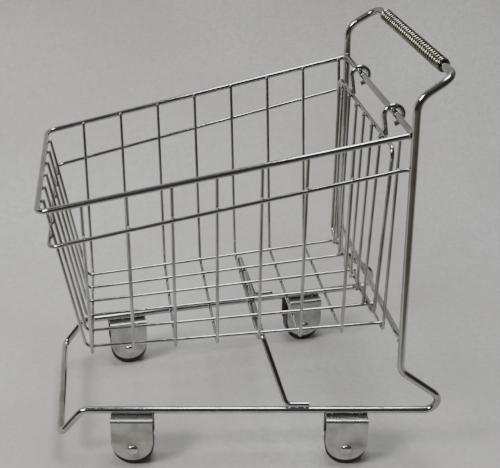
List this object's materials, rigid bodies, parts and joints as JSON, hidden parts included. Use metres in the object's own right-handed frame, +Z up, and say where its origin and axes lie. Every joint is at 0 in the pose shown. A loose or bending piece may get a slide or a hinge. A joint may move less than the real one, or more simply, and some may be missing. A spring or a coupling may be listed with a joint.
{
  "type": "small wire shopping cart",
  "caption": "Small wire shopping cart: bent-wire frame, open tapered basket of welded wires, hinged rear gate on hooks, coil grip on the handle and fixed plastic wheels in U brackets.",
  "frame": {"origin": "on the floor under the middle of the cart's bounding box", "axes": "+Z up, the nose faces -Y, the handle is at +Y, +X is the cart's side towards the viewer when the nose points left"},
  "size_m": [0.149, 0.2072, 0.2224],
  "materials": {
    "bright_wire": "bright nickel-chrome plate over drawn steel wire",
    "grip_wire": "plated spring wire",
    "bracket_sheet": "plated pressed sheet",
    "rivet_steel": "plated domed rivet",
    "wheel_plastic": "moulded black plastic, light gloss"
  },
  "bodies": {
    "cart": {"frame_loop": "bright_wire", "hinge_bar": "bright_wire", "low_bar": "bright_wire", "rim": "bright_wire", "second_rail": "bright_wire", "hoop_1": "bright_wire", "hoop_2": "bright_wire", "hoop_3": "bright_wire", "hoop_4": "bright_wire", "hoop_5": "bright_wire", "hoop_6": "bright_wire", "hoop_7": "bright_wire", "hoop_8": "bright_wire", "long_1": "bright_wire", "long_2": "bright_wire", "long_3": "bright_wire", "long_4": "bright_wire", "long_5": "bright_wire", "long_6": "bright_wire", "strut": "bright_wire", "fork_fr": "bracket_sheet", "fork_fl": "bracket_sheet", "fork_rr": "bracket_sheet", "fork_rl": "bracket_sheet", "axle_fr": "rivet_steel", "axle_fl": "rivet_steel", "axle_rr": "rivet_steel", "axle_rl": "rivet_steel"},
    "gate": {"gate_outline": "bright_wire", "gate_bar_1": "bright_wire", "gate_bar_2": "bright_wire", "gate_bar_3": "bright_wire", "gate_bar_4": "bright_wire", "gate_bar_5": "bright_wire", "gate_bar_6": "bright_wire", "hook_right": "bright_wire", "hook_left": "bright_wire"},
    "grip": {"grip_coil": "grip_wire"},
    "wheel_front_right": {"wheel_fr": "wheel_plastic"},
    "wheel_front_left": {"wheel_fl": "wheel_plastic"},
    "wheel_rear_right": {"wheel_rr": "wheel_plastic"},
    "wheel_rear_left": {"wheel_rl": "wheel_plastic"}
  },
  "joints": [
    {"name": "gate_hinge", "type": "hinge", "parent": "cart", "child": "gate", "pos_m": [0, 0.07678, 0.19074], "axis": [-1, 0, 0], "range_deg": [0, 80]},
    {"name": "grip_spin", "type": "hinge", "parent": "cart", "child": "grip", "pos_m": [0, 0.09439, 0.2188], "axis": [1, 0, 0], "continuous": true},
    {"name": "spin_front_right", "type": "hinge", "parent": "cart", "child": "wheel_front_right", "pos_m": [0.05108, -0.0617, 0.0114], "axis": [0.9925, -0.1219, 0], "continuous": true},
    {"name": "spin_front_left", "type": "hinge", "parent": "cart", "child": "wheel_front_left", "pos_m": [-0.05108, -0.0617, 0.0114], "axis": [0.9925, 0.1219, 0], "continuous": true},
    {"name": "spin_rear_right", "type": "hinge", "parent": "cart", "child": "wheel_rear_right", "pos_m": [0.06525, 0.0537, 0.0114], "axis": [0.9925, -0.1219, 0], "continuous": true},
    {"name": "spin_rear_left", "type": "hinge", "parent": "cart", "child": "wheel_rear_left", "pos_m": [-0.06525, 0.0537, 0.0114], "axis": [0.9925, 0.1219, 0], "continuous": true}
  ]
}
